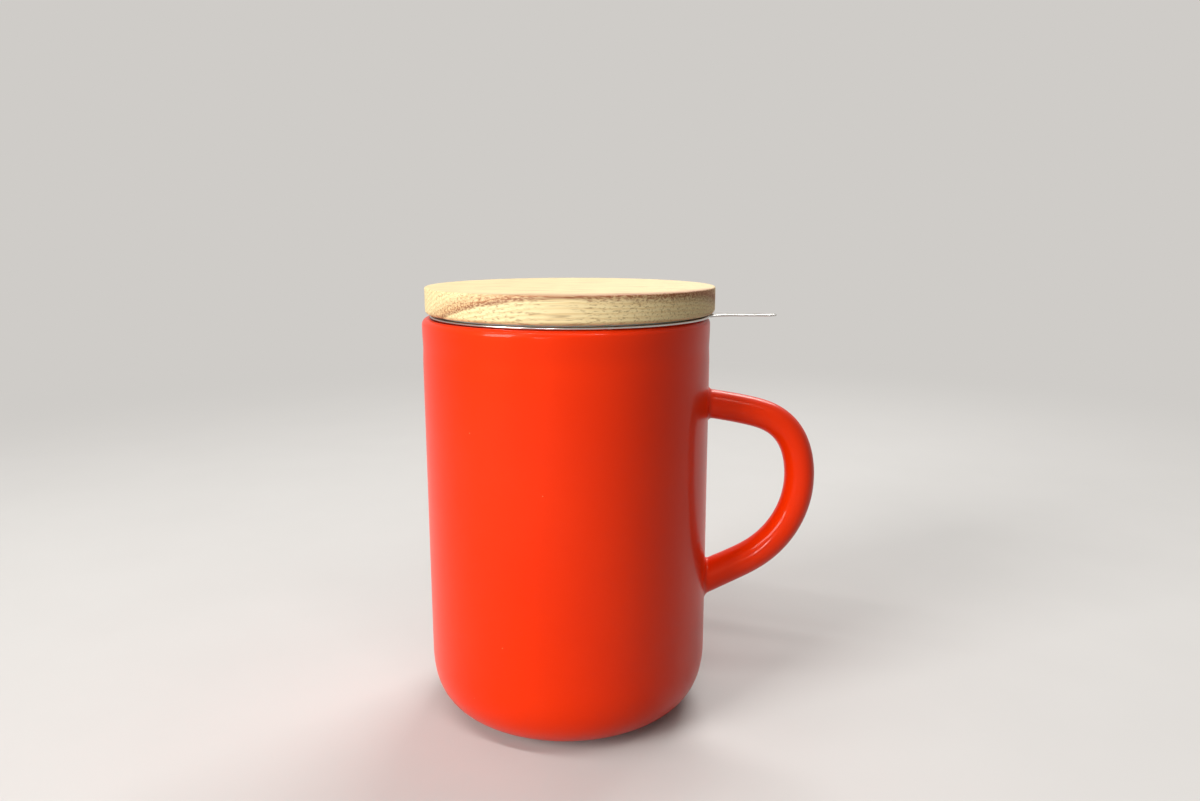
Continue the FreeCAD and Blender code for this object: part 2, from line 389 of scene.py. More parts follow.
        # More cloud towards the right end: partly heartwood, partly painted shade on the side away from the
        # light.
        cloud_and_right_shade = add(
            "MapRange",
            {"Value": parts.outputs[0], "From Min": self.cloud_and_shade_span_mm[0],
             "From Max": self.cloud_and_shade_span_mm[1], "To Min": self.cloud_and_right_shade_gain[0],
             "To Max": self.cloud_and_right_shade_gain[1]},
        )
        cloud_and_shade_tone = add(
            "Math", {0: cloud_share, 1: cloud_and_right_shade}, operation="MULTIPLY", use_clamp=True,
        )
        clouded_and_shaded = add(
            "Mix", {0: cloud_and_shade_tone, 6: ringed.outputs[2], 7: linear(self.cloud)}, data_type="RGBA",
        )
        streaked = add(
            "Mix", {0: streak_share, 6: clouded_and_shaded.outputs[2], 7: linear(self.streak)}, data_type="RGBA",
        )
        pores = add(
            "MapRange",
            {"Value": fine, "From Min": self.pore_fibre[0], "From Max": self.pore_fibre[1],
             "To Max": self.pore_share},
            interpolation_type="SMOOTHSTEP",
        )
        colour = add("Mix", {0: pores, 6: streaked.outputs[2], 7: linear(self.pore)}, data_type="RGBA")
        bump = add("Bump", {"Strength": 1.0, "Distance": self.pore_depth_mm * MM, "Height": fine})
        roughness = add(
            "MapRange",
            {"Value": fine, "To Min": self.roughness + self.roughness_spread,
             "To Max": self.roughness - self.roughness_spread},
        )
        shader = add(
            "BsdfPrincipled", {"Base Color": colour.outputs[2], "Roughness": roughness, "Normal": bump},
        )
        add("OutputMaterial", {0: shader})
        return material


@dataclass(frozen=True)
class StainlessSteel:
    """Stainless sheet, pressed cold and then polished, or punched and tumbled.

    The eye sees a neutral grey mirror that is slightly clouded, with faint drawing marks round
    the axis.
    """

    name: str = "polished_stainless"
    metal: str = "#BDBAB6"
    roughness: float = 0.2
    dent_mm: float = 5.0
    dent_depth_mm: float = 0.003
    mark_mm: float = 0.35
    mark_depth_mm: float = 0.004
    mark_share: float = 0.35
    cloud_scale: float = 0.12
    cloud_range: tuple[float, float] = (0.4, 0.95)
    roughness_share: tuple[float, float] = (0.7, 1.5)

    def material(self) -> bpy.types.Material:
        """Builds the steel, with marks that are long round the axis and short along it."""
        material, add, place = new_material(self.name)
        parts = add("SeparateXYZ", {0: place})
        bearing = add("Math", {0: parts.outputs[1], 1: parts.outputs[0]}, operation="ARCTAN2")
        level = add("CombineXYZ", {0: parts.outputs[0], 1: parts.outputs[1]})
        radius = add("VectorMath", {0: level}, operation="LENGTH")
        round_marks = add("CombineXYZ", {0: bearing, 1: radius.outputs["Value"], 2: parts.outputs[2]})
        marks = add("TexNoise", {"Vector": round_marks, "Scale": 1 / self.mark_mm, "Detail": 2.0})
        cloud = add("TexNoise", {"Vector": place, "Scale": self.cloud_scale, "Detail": 3.0})
        both = add("Math", {0: marks, 1: self.mark_share, 2: cloud}, operation="MULTIPLY_ADD")
        roughness = add(
            "MapRange",
            {"Value": both, "From Min": self.cloud_range[0], "From Max": self.cloud_range[1],
             "To Min": self.roughness_share[0] * self.roughness,
             "To Max": self.roughness_share[1] * self.roughness},
        )
        dents = add("TexNoise", {"Vector": place, "Scale": 1 / self.dent_mm, "Detail": 1.0})
        dented = add("Bump", {"Strength": 1.0, "Distance": self.dent_depth_mm * MM, "Height": dents})
        bump = add(
            "Bump",
            {"Strength": 1.0, "Distance": self.mark_depth_mm * MM, "Height": marks, "Normal": dented},
        )
        shader = add(
            "BsdfPrincipled",
            {"Base Color": linear(self.metal), "Metallic": 1.0, "Roughness": roughness, "Normal": bump},
        )
        add("OutputMaterial", {0: shader})
        return material


@dataclass(frozen=True)
class MouldedSilicone:
    """Food-grade silicone rubber, press moulded.

    The eye sees a milky, slightly see-through matt skin with a trace of dust.
    """

    rubber: str = "#DEDBD2"
    dust: str = "#C9C5BA"
    roughness: float = 0.5
    cloud_mm: float = 6.0
    ior: float = 1.41
    milkiness: float = 0.3
    milk_depth_mm: float = 0.8

    def material(self) -> bpy.types.Material:
        """Builds the rubber, with a soft light that passes under its skin."""
        material, add, place = new_material("moulded_silicone")
        cloud = add("TexNoise", {"Vector": place, "Scale": 1 / self.cloud_mm, "Detail": 4.0})
        colour = add("Mix", {0: cloud, 6: linear(self.rubber), 7: linear(self.dust)}, data_type="RGBA")
        shader = add(
            "BsdfPrincipled",
            {"Base Color": colour.outputs[2], "Roughness": self.roughness, "IOR": self.ior,
             "Subsurface Weight": self.milkiness, "Subsurface Scale": self.milk_depth_mm * MM},
        )
        add("OutputMaterial", {0: shader})
        return material


# Outlines and meshes


def arc(centre: tuple[float, float], radius: float, first: float, last: float, steps: int) -> Outline:
    """Points of a circular arc.

    Args:
        centre: The arc's centre, in millimetres.
        radius: Its radius.
        first: The first point's direction in degrees, where 0 is outwards and 90 is up.
        last: The last point's direction.
        steps: How many stretches the arc is cut into.

    Returns:
        The points, both ends included.
    """
    turns = [math.radians(first + (last - first) * step / steps) for step in range(steps + 1)]
    return [(centre[0] + radius * math.cos(turn), centre[1] + radius * math.sin(turn)) for turn in turns]


def soft_corner(radius: float, height: float, reach: float, fullness: float, steps: int) -> Outline:
    """Points of the mug's soft corner, from the wall down to the level floor.

    Args:
        radius: The wall's radius.
        height: The floor's height.
        reach: How far the corner runs up the wall and in under the floor.
        fullness: 0.55 for a circle's corner, and 1 for a sharp one.
        steps: How many stretches the curve is cut into.

    Returns:
        The points, both ends included.
    """
    pull = reach * (1 - fullness)
    poles = [
        Vector((radius, height + reach)), Vector((radius, height + pull)),
        Vector((radius - pull, height)), Vector((radius - reach, height)),
    ]
    points = []
    for step in range(steps + 1):
        t = step / steps
        weights = ((1 - t) ** 3, 3 * t * (1 - t) ** 2, 3 * t * t * (1 - t), t ** 3)
        point = sum((pole * weight for pole, weight in zip(poles, weights)), Vector((0.0, 0.0)))
        points.append((point.x, point.y))
    return points


def rounded(corners: Outline, rounding: float, steps: int = 4, closed: bool = True) -> Outline:
    """Rounds the corners of an outline.

    Args:
        corners: The outline's corners.
        rounding: How far from each corner its curve starts, at most.
        steps: How many stretches each curve is cut into.
        closed: Whether the last corner joins the first.

    Returns:
        The rounded outline's points.
    """
    points = [] if closed else [corners[0]]
    places = range(len(corners)) if closed else range(1, len(corners) - 1)
    for place in places:
        before = Vector(corners[place - 1])
        corner = Vector(corners[place])
        after = Vector(corners[(place + 1) % len(corners)])
        reach = min(rounding, 0.45 * (before - corner).length, 0.45 * (after - corner).length)
        start = corner + (before - corner).normalized() * reach
        end = corner + (after - corner).normalized() * reach
        for step in range(steps + 1):
            t = step / steps
            point = start * (1 - t) ** 2 + corner * 2 * t * (1 - t) + end * t * t
            points.append((point.x, point.y))
    return points if closed else points + [corners[-1]]


def as_object(name: str, grid: bmesh.types.BMesh, sharp_degrees: float = 40.0) -> bpy.types.Object:
    """Turns a finished mesh into an object with smooth shading.

    Args:
        name: The object's name.
        grid: The mesh, in millimetres. It is freed.
        sharp_degrees: Edges that turn more than this stay sharp.

    Returns:
        The new object, in metres, with its origin at the row frame's origin.
    """
    bmesh.ops.scale(grid, vec=(MM, MM, MM), verts=grid.verts)
    bmesh.ops.recalc_face_normals(grid, faces=grid.faces)
    mesh = bpy.data.meshes.new(name)
    grid.to_mesh(mesh)
    grid.free()
    mesh.shade_smooth()
    mesh.set_sharp_from_angle(angle=math.radians(sharp_degrees))
    made = bpy.data.objects.new(name, mesh)
    bpy.context.scene.collection.objects.link(made)
    return made


def band(grid: bmesh.types.BMesh, first: Ring, second: Ring) -> None:
    """Fills the band between two rings with as many points.

    Args:
        grid: The mesh.
        first: One ring.
        second: The other, with its points in the same order.
    """
    for place in range(len(first)):
        following = (place + 1) % len(first)
        grid.faces.new((first[place], first[following], second[following], second[place]))


def fill_cell(grid: bmesh.types.BMesh, edge: list[Ring], hole: list[Ring]) -> None:
    """Fills the sheet between a cell's edge and its punched hole, and the hole's own wall.

    Args:
        grid: The mesh.
        edge: The points round the cell, on the sheet's first face and on its second.
        hole: As many points round the hole, in the same order.
    """
    for place in range(HOLE_CORNERS):
        following = (place + 1) % HOLE_CORNERS
        for face in (0, 1):
            grid.faces.new((
                edge[face][place], edge[face][following], hole[face][following], hole[face][place],
            ))
        grid.faces.new((hole[0][place], hole[0][following], hole[1][following], hole[1][place]))


def zip_rings(grid: bmesh.types.BMesh, inner: Ring, outer: Ring) -> None:
    """Fills a level band between two rings of points that may differ in number.

    Args:
        grid: The mesh.
        inner: The inner ring, from the direction of +X round.
        outer: The outer ring, from the same direction.
    """
    here = 0
    there = 0
    while here < len(inner) or there < len(outer):
        now = inner[here % len(inner)]
        over = outer[there % len(outer)]
        if (here + 1) * len(outer) <= (there + 1) * len(inner) and here < len(inner):
            here += 1
            grid.faces.new((now, over, inner[here % len(inner)]))
        else:
            there += 1
            grid.faces.new((now, over, outer[there % len(outer)]))


def lathe(
    outline: Outline, axis_x: float, segments: int, closed: bool = True,
    shape: Callable[[Vector], Vector] | None = None,
) -> bmesh.types.BMesh:
    """Turns an outline round an upright axis.

    Args:
        outline: Radius and height of each point. A point on the axis becomes a pole.
        axis_x: Where the axis stands.
        segments: How many steps the turn has.
        closed: Whether the outline's last point joins its first.
        shape: Moves each point, for unevenness.

    Returns:
        The mesh, in millimetres.
    """
    grid = bmesh.new()
    rings = []
    for radius, height in outline:
        ring = []
        for segment in range(segments if radius > NEAR_AXIS else 1):
            turn = FULL_TURN * segment / segments
            point = Vector((axis_x + radius * math.cos(turn), radius * math.sin(turn), height))
            ring.append(grid.verts.new(shape(point) if shape else point))
        rings.append(ring)
    pairs = list(zip(rings, rings[1:])) + ([(rings[-1], rings[0])] if closed else [])
    for low, high in pairs:
        for segment in range(segments):
            following = (segment + 1) % segments
            corners = [
                low[segment % len(low)], low[following % len(low)],
                high[following % len(high)], high[segment % len(high)],
            ]
            unique = list(dict.fromkeys(corners))
            if len(unique) > 2:
                grid.faces.new(unique)
    return grid


def dress(
    piece: bpy.types.Object, body: Body, slot: Slot, material: bpy.types.Material, *nodes: str
) -> bpy.types.Object:
    """Gives a piece its finish and its body, and hides the solids that it replaces.

    Args:
        piece: The piece.
        body: The body that it rides on.
        slot: The record's slot for its finish. Not used.
        material: Its finish.
        nodes: The solids that it replaces.

    Returns:
        The piece.
    """
    piece.data.materials.clear()
    piece.data.materials.append(material)
    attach(piece, body.value)
    if nodes:
        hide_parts(*nodes)
    log.info("%s: %d faces, rides on %s", piece.name, len(piece.data.polygons), body.value)
    return piece


def box_mm(node: str) -> tuple[Vector, Vector]:
    """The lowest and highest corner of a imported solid, in millimetres."""
    low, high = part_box(node)
    return low / MM, high / MM


def uneven(amount: float, span: float, seed: float) -> Callable[[Vector], Vector]:
    """Makes a soft unevenness, as a hand-finished surface has.

    Args:
        amount: The most that a point moves, in millimetres.
        span: The distance from one swell to the next.
        seed: Sets one piece's unevenness apart from another's.

    Returns:
        A function that moves a point.
    """
    shift = Vector((seed, 2 * seed, 3 * seed))

    def move(point: Vector) -> Vector:
        """Moves a point in or out along the level direction from the axis."""
        swell = noise.noise(point / span + shift)
        outwards = Vector((point.x, point.y, 0.0))
        if outwards.length < NEAR_AXIS:
            return point
        return point + outwards.normalized() * amount * swell

    return move


# The mug


@dataclass
class MugBody:
    """The cast mug: a straight wall, a soft bottom corner, a round lip and a small foot ring."""

    finish: GlazedStoneware
    radius: float
    height: float
    wall: float = 3.8
    floor_thickness: float = 4.5
    corner_reach: float = 18.0
    corner_fullness: float = 0.71
    foot_height: float = 0.8
    foot_width: float = 3.5
    foot_setback: float = 0.5
    foot_edge: float = 0.4
    foot_recess: float = 2.0
    wall_steps: int = 60
    inner_wall_steps: int = 24
    lip_steps: int = 20
    inner_corner_steps: int = 20
    outer_corner_steps: int = 32
    segments: int = 256
    dip_below_lip: float = 8.5
    dip_depth: float = 0.16
    dip_spread: float = 2.4
    swell: float = 0.05
    swell_span: float = 38.0
    swell_seed: float = 3.7

    def dip(self, height: float) -> float:
        """How far the wall lies in at a height, where the wet clay was pressed below the lip."""
        from_dip = (height - (self.height - self.dip_below_lip)) / self.dip_spread
        return self.dip_depth * math.exp(-from_dip * from_dip)

    def outline(self) -> Outline:
        """Points from the floor's middle over the lip and down to the underside's middle."""
        mouth = self.radius - self.wall
        inner_reach = self.corner_reach - self.wall
        mug_floor = self.foot_recess + self.floor_thickness
        lip = self.wall / 2
        lip_height = self.height - lip
        corner_end = self.radius - self.corner_reach
        foot_outer = corner_end - self.foot_setback
        foot_inner = foot_outer - self.foot_width
        inner_corner = soft_corner(
            mouth, mug_floor, inner_reach, self.corner_fullness, self.inner_corner_steps,
        )
        outer_corner = soft_corner(
            self.radius, self.foot_height, self.corner_reach, self.corner_fullness, self.outer_corner_steps,
        )
        inner_top = mug_floor + inner_reach
        outer_bottom = self.foot_height + self.corner_reach
        points = [(0.0, mug_floor), (0.5 * mouth, mug_floor)] + inner_corner[::-1]
        for step in range(1, self.inner_wall_steps):
            points.append((mouth, inner_top + (lip_height - inner_top) * step / self.inner_wall_steps))
        points += arc((self.radius - lip, lip_height), lip, 180, 0, self.lip_steps)
        for step in range(1, self.wall_steps):
            height = lip_height + (outer_bottom - lip_height) * step / self.wall_steps
            points.append((self.radius - self.dip(height), height))
        points += outer_corner
        points += rounded([
            (corner_end, self.foot_height), (foot_outer, self.foot_height), (foot_outer, 0.0),
            (foot_inner, 0.0), (foot_inner, self.foot_recess), (0.0, self.foot_recess),
        ], self.foot_edge, closed=False)[1:]
        return points

    def build(self) -> bpy.types.Object:
        """Builds the cast shell and dresses it."""
        shape = uneven(self.swell, self.swell_span, self.swell_seed)
        grid = lathe(self.outline(), 0.0, self.segments, closed=False, shape=shape)
        return dress(
            as_object("cast_mug_shell", grid), Body.MUG, Slot.GLAZE, self.finish.material(), "mug_shell"
        )


@dataclass
class LoopHandle:
    """The handle: an extruded rod of clay, bent to a loop and luted to the wall at two roots."""

    finish: bpy.types.Material
    mug_radius: float
    top_height: float = 94.3
    top_slope: float = 7.0
    arm_radius: float = 142.0
    arm_turn: float = 6.5
    bend_radius: float = 15.0
    bend_turn: float = 57.0
    sweep_radius: float = 30.0
    sweep_turn: float = 82.9
    spacing: float = 1.0
    easing: int = 18
    top_diameter: float = 8.7
    bottom_diameter: float = 9.8
    root_fillet: float = 1.3
    root_ease: float = 1.6
    root_clear: float = 6.5
    fillet_steps: int = 8
    sunk: float = 0.6
    sides: int = 48

    def route(self) -> list[tuple[Vector, float]]:
        """Points of the rod's middle line between the roots, each with its heading in degrees.

        Three arcs and a straight arm are eased into each other, as a bent rod of clay runs.

        Returns:
            Each point and its heading, from the upper root to the lower one.
        """
        heading = -self.top_slope
        points = [Vector((self.mug_radius, 0.0, self.top_height))]
        for radius, turn in (
            (self.arm_radius, self.arm_turn), (self.bend_radius, self.bend_turn),
            (self.sweep_radius, self.sweep_turn),
        ):
            centre = points[-1] - self.step(heading + 90) * radius
            steps = round(radius * math.radians(turn) / self.spacing)
            for step in range(1, steps + 1):
                points.append(centre + self.step(heading - turn * step / steps + 90) * radius)
            heading -= turn
        start = points[-1]
        arm = (self.mug_radius - start.x) / self.step(heading).x
        steps = round(arm / self.spacing)
        points += [start + self.step(heading) * (arm * step / steps) for step in range(1, steps + 1)]
        for _ in range(self.easing):
            points[1:-1] = [
                (before + here * 2 + after) / 4
                for before, here, after in zip(points, points[1:], points[2:])
            ]
        stations = []
        for before, here, after in zip(points[:1] + points, points, points[1:] + points[-1:]):
            run = after - before
            stations.append((here, math.degrees(math.atan2(run.z, run.x))))
        return stations

    @staticmethod
    def step(heading: float) -> Vector:
        """The unit step along a heading in the handle's plane."""
        return Vector((math.cos(math.radians(heading)), 0.0, math.sin(math.radians(heading))))

    def radius_at(self, share: float) -> float:
        """The rod's radius at a share of its length, root to root."""
        return (self.top_diameter + (self.bottom_diameter - self.top_diameter) * share ** 2) / 2

    def root_ring(
        self, grid: bmesh.types.BMesh, root: Vector, outwards: Vector, size: float, off_wall: float
    ) -> Ring:
        """Points round the rod at one distance from the mug's wall, where the root spreads to meet it.

        Args:
            grid: The mesh.
            root: Where the rod's middle line meets the wall.
            outwards: The rod's direction away from the wall.
            size: The rod's radius.
            off_wall: The distance from the wall.

        Returns:
            The ring's points.
        """
        spread = 0.0
        if off_wall < self.root_fillet:
            depth = self.root_fillet - max(off_wall, 0.0)
            spread = self.root_fillet - math.sqrt(self.root_fillet ** 2 - depth ** 2)
        reach = self.mug_radius + off_wall
        side = Vector((0.0, 1.0, 0.0))
        upwards = outwards.cross(side)
        ring = []
        for place in range(self.sides):
            turn = FULL_TURN * place / self.sides
            around = root + (side * math.cos(turn) + upwards * math.sin(turn)) * (size + spread)
            wall_x = math.sqrt(reach ** 2 - around.y ** 2)
            ring.append(grid.verts.new(around + outwards * ((wall_x - around.x) / outwards.x)))
        return ring

    def build(self) -> bpy.types.Object:
        """Builds the rod from one root to the other and dresses it."""
        grid = bmesh.new()
        stations = self.route()
        lengths = [0.0]
        for (before, _), (after, _) in zip(stations, stations[1:]):
            lengths.append(lengths[-1] + (after - before).length)
        offsets = [-self.sunk]
        for step in range(self.fillet_steps + 1):
            offsets.append(self.root_fillet * (1 - math.cos(math.pi / 2 * step / self.fillet_steps)))
        offsets.append(self.root_fillet + self.root_ease)
        top, top_heading = stations[0]
        bottom, bottom_heading = stations[-1]
        rings = [
            self.root_ring(grid, top, self.step(top_heading), self.radius_at(0.0), offset)
            for offset in offsets
        ]
        side = Vector((0.0, 1.0, 0.0))
        for (point, heading), length in zip(stations, lengths):
            if not self.root_clear < length < lengths[-1] - self.root_clear:
                continue
            size = self.radius_at(length / lengths[-1])
            upwards = self.step(heading).cross(side)
            turns = [FULL_TURN * place / self.sides for place in range(self.sides)]
            rings.append([
                grid.verts.new(point + (side * math.cos(turn) + upwards * math.sin(turn)) * size)
                for turn in turns
            ])
        back = -self.step(bottom_heading)
        for offset in reversed(offsets):
            ring = self.root_ring(grid, bottom, back, self.radius_at(1.0), offset)
            rings.append([ring[-place % self.sides] for place in range(self.sides)])
        for low, high in zip(rings, rings[1:]):
            band(grid, low, high)
        grid.faces.new(rings[0])
        grid.faces.new(rings[-1])
        return dress(as_object("luted_loop_handle", grid), Body.MUG, Slot.GLAZE, self.finish, "mug_handle")


# The infuser


@dataclass
class Infuser:
    """The steel infuser: a pressed collar with a tab, a perforated sleeve, a dish and a hem."""

    polished: bpy.types.Material
    perforated: bpy.types.Material
    axis_x: float
    collar_radius: float
    flange_height: float
    tab_tip: float
    collar_sheet: float = 0.5
    collar_bend: float = 1.0
    flange_width: float = 4.6
    rim_proud: float = 0.25
    roll_run: float = 1.2
    roll_end: float = 138.0
    neck_edge: float = 0.15
    neck_depth: float = 14.0
    tab_width: float = 13.0
    tab_tip_radius: float = 2.6
    tab_flare_share: float = 0.5
    tab_thickness: float = 0.6
    weld_gap: float = 0.02
    mesh_sheet: float = 0.4
    sleeve_lap: float = 5.0
    depth: float = 90.5
    hem_height: float = 3.5
    hem_fold: float = 0.35
    dish_step: float = 0.6
    dish_bend: float = 0.3
    dish_inner_bend: float = 0.1
    hole_radius: float = 0.65
    wall_columns: int = 90
    wall_rows: int = 32
    wall_margin: float = 1.0
    floor_pitch: float = 2.5
    floor_margin: float = 1.0
    floor_cell_gap: float = 0.12
    segments: int = 192

    @property
    def neck_radius(self) -> float:
        """The neck's outer radius."""
        return self.collar_radius - self.flange_width

    @property
    def sleeve_radius(self) -> float:
        """The sleeve's outer radius, inside the neck."""
        return self.neck_radius - self.collar_sheet - self.weld_gap

    @property
    def bottom(self) -> float:
        """The height of the hem's underside."""
        return self.flange_height - self.depth

    @property
    def dish_floor(self) -> float:
        """The height of the dish's upper face."""
        return self.bottom + self.hem_height + self.dish_step + self.mesh_sheet

    def collar(self) -> bpy.types.Object:
        """Builds the flange with its rolled rim and the neck below it."""
        sheet = self.collar_sheet
        rolled = sheet + self.rim_proud
        rim = (self.collar_radius - rolled / 2, self.flange_height + rolled / 2)
        bend = (self.neck_radius + self.collar_bend, self.flange_height - self.collar_bend)
        neck_bottom = self.flange_height - self.neck_depth
        bore = self.neck_radius - sheet
        outline = arc(rim, rolled / 2, -90, self.roll_end, 20)
        outline += [(rim[0] - self.roll_run, self.flange_height + sheet)]
        outline += arc(bend, self.collar_bend + sheet, 90, 180, 10)
        outline += rounded([
            (bore, bend[1] - self.collar_bend), (bore, neck_bottom), (self.neck_radius, neck_bottom),
            (self.neck_radius, bend[1] - self.collar_bend),
        ], self.neck_edge, closed=False)
        outline += arc(bend, self.collar_bend, 180, 90, 8)
        grid = lathe(outline, self.axis_x, self.segments)
        return dress(
            as_object("pressed_collar", grid), Body.INFUSER, Slot.PRESSED, self.polished, "infuser_collar"
        )

    def tab_outline(self) -> Outline:
        """Points of the tab seen from above: a wide root that draws in to a finger with a round tip."""
        root = self.axis_x + self.collar_radius - self.collar_sheet
        tip_centre = self.tab_tip - self.tab_tip_radius
        tip = arc((tip_centre, 0.0), self.tab_tip_radius, -90, 90, 24)
        flare = self.tab_width / 2 - self.tab_tip_radius
        side_steps = 20
        points = []
        for step in range(side_steps):
            share = step / side_steps
            drawn_in = max(0.0, 1 - share / self.tab_flare_share)
            points.append((root + (tip_centre - root) * share, self.tab_tip_radius + flare * drawn_in ** 2))
        lower = [(along, -across) for along, across in points]
        return lower + tip + points[::-1]

    def tab(self) -> bpy.types.Object:
        """Builds the finger tab with softly rolled edges."""
        rolled = self.collar_sheet + self.rim_proud
        low = self.flange_height + (rolled - self.tab_thickness) / 2
        grid = bmesh.new()
        plan = self.tab_outline()
        edge = self.tab_thickness / 2
        levels = [(edge * math.sin(math.radians(turn)), edge * (1 - math.cos(math.radians(turn))))
                  for turn in range(-90, 91, 30)]
        rings = []
        for rise, inset in levels:
            ring = []
            for place, (along, across) in enumerate(plan):
                run = (Vector(plan[(place + 1) % len(plan)]) - Vector(plan[place - 1])).normalized()
                point = (along - run.y * inset, across + run.x * inset, low + edge + rise)
                ring.append(grid.verts.new(point))
            rings.append(ring)
        for lower, upper in zip(rings, rings[1:]):
            band(grid, lower, upper)
        grid.faces.new(rings[0][::-1])
        grid.faces.new(rings[-1])
        return dress(
            as_object("finger_tab", grid), Body.INFUSER, Slot.PRESSED, self.polished, "infuser_tab"
        )

    def hole_points(self) -> Outline:
        """The points round a punched hole from its lower left, counted from the hole's middle."""
        angles = [math.radians(45 * place - 135) for place in range(HOLE_CORNERS)]
        return [(self.hole_radius * math.cos(angle), self.hole_radius * math.sin(angle)) for angle in angles]

    def sleeve(self) -> bpy.types.Object:
        """Builds the sleeve with its staggered rows of punched holes."""
        grid = bmesh.new()
        radii = (self.sleeve_radius, self.sleeve_radius - self.mesh_sheet)
        halves = 2 * self.wall_columns
        first = self.dish_floor + self.wall_margin
        last = self.flange_height - self.neck_depth - self.wall_margin
        row_step = (last - first) / self.wall_rows
        across = FULL_TURN * self.sleeve_radius / halves
        hole_points = self.hole_points()

        def at(face: int, turn: float, height: float) -> bmesh.types.BMVert:
            """Adds a point of one face of the sheet, at a turn counted in half columns."""
            angle = FULL_TURN * turn / halves
            radius = radii[face]
            place = (self.axis_x + radius * math.cos(angle), radius * math.sin(angle), height)
            return grid.verts.new(place)

        def line(height: float) -> list[Ring]:
            """Adds a level line of points on both faces."""
            return [[at(face, turn, height) for turn in range(halves)] for face in (0, 1)]

        low_edge = line(self.bottom + self.mesh_sheet + self.weld_gap)
        top_edge = line(self.flange_height - self.neck_depth + self.sleeve_lap)
        levels = [line(first + row_step * row) for row in range(self.wall_rows + 1)]
        for row in range(self.wall_rows):
            middle = first + row_step * (row + 0.5)
            stagger = row % 2
            sides = [
                [at(face, 2 * column + stagger, middle) for column in range(self.wall_columns)]
                for face in (0, 1)
            ]
            for column in range(self.wall_columns):
                start = 2 * column + stagger
                turns = [start, start + 1, start + 2]
                edge = []
                hole = []
                for face in (0, 1):
                    low = [levels[row][face][turn % halves] for turn in turns]
                    high = [levels[row + 1][face][turn % halves] for turn in turns]
                    left = sides[face][column]
                    right = sides[face][(column + 1) % self.wall_columns]
                    edge.append([low[0], low[1], low[2], right, high[2], high[1], high[0], left])
                    hole.append([
                        at(face, start + 1 + along / across, middle + upwards)
                        for along, upwards in hole_points
                    ])
                fill_cell(grid, edge, hole)
        for low, high in ((low_edge, levels[0]), (levels[-1], top_edge)):
            for face in (0, 1):
                band(grid, low[face], high[face])
        for end in (low_edge, top_edge):
            band(grid, end[0], end[1])
        return dress(
            as_object("punched_sleeve", grid, 60.0), Body.INFUSER, Slot.MESH, self.perforated,
            "infuser_wall",
        )

    def dish(self) -> bpy.types.Object:
        """Builds the dish with its rings of punched holes and its rim turned down."""
        grid = bmesh.new()
        heights = (self.dish_floor, self.dish_floor - self.mesh_sheet)
        radius = self.sleeve_radius - self.mesh_sheet - self.weld_gap
        rim_bore = radius - self.mesh_sheet
        low = self.bottom + self.mesh_sheet + self.weld_gap
        half = self.floor_pitch / 2 - self.floor_cell_gap
        hole_points = self.hole_points()

        def at(out: float, angle: float, height: float) -> bmesh.types.BMVert:
            """Adds a point at a distance from the axis, a turn round it and a height."""
            return grid.verts.new((self.axis_x + out * math.cos(angle), out * math.sin(angle), height))

        def circle(out: float, count: int, height: float) -> Ring:
            """Adds a level ring of points."""
            return [at(out, FULL_TURN * place / count, height) for place in range(count)]

        inner = [circle(half, 6, height) for height in heights]
        for ring in inner:
            grid.faces.new(ring)
        ring_count = int((rim_bore - self.floor_margin) / self.floor_pitch)
        for turn in range(1, ring_count + 1):
            out = turn * self.floor_pitch
            holes = 6 * turn
            corners = 2 * holes
            near = [circle(out - half, corners, height) for height in heights]
            far = [circle(out + half, corners, height) for height in heights]
            sides = [circle(out, holes, height) for height in heights]
            for face in (0, 1):
                zip_rings(grid, inner[face], near[face])
            for place in range(holes):
                edge = []
                hole = []
                for face in (0, 1):
                    turns = [(2 * place + step) % corners for step in range(3)]
                    edge.append([
                        near[face][turns[0]], near[face][turns[1]], near[face][turns[2]],
                        sides[face][(place + 1) % holes],
                        far[face][turns[2]], far[face][turns[1]], far[face][turns[0]],
                        sides[face][place],
                    ])
                    middle = FULL_TURN * (place + 0.5) / holes
                    hole.append([
                        at(out + away, middle + along / out, heights[face]) for along, away in hole_points
                    ])
                fill_cell(grid, edge, hole)
            inner = far
        count = self.segments
        top_edge = circle(radius - self.dish_bend, count, heights[0])
        under_edge = circle(rim_bore - self.dish_inner_bend, count, heights[1])
        zip_rings(grid, inner[0], top_edge)
        zip_rings(grid, inner[1], under_edge)
        bend_centre = (radius - self.dish_bend, heights[0] - self.dish_bend)
        shoulder = arc(bend_centre, self.dish_bend, 90, 0, 4)[1:]
        path = shoulder + [(radius, low), (rim_bore, low), (rim_bore, heights[1] - self.dish_inner_bend)]
        last = top_edge
        for out, height in path:
            ring = circle(out, count, height)
            band(grid, last, ring)
            last = ring
        band(grid, last, under_edge)
        return dress(
            as_object("punched_dish", grid, 60.0), Body.INFUSER, Slot.MESH, self.perforated,
            "infuser_floor",
        )

    def hem(self) -> bpy.types.Object:
        """Builds the folded ring that grips the sleeve and the dish."""
        sheet = self.mesh_sheet
        sleeve_bore = self.sleeve_radius - sheet
        inner_leg = sleeve_bore - 2 * self.weld_gap - sheet
        outer_leg = self.sleeve_radius + self.weld_gap
        top = self.bottom + self.hem_height
        floor = self.bottom + sheet
        outline = rounded([
            (inner_leg - sheet, self.bottom), (outer_leg + sheet, self.bottom),
            (outer_leg + sheet, top), (outer_leg, top), (outer_leg, floor),
            (inner_leg, floor), (inner_leg, top), (inner_leg - sheet, top),
        ], self.hem_fold)
        grid = lathe(outline, self.axis_x, self.segments)
        return dress(
            as_object("folded_hem", grid), Body.INFUSER, Slot.PRESSED, self.polished, "infuser_hem"
        )


# The lid


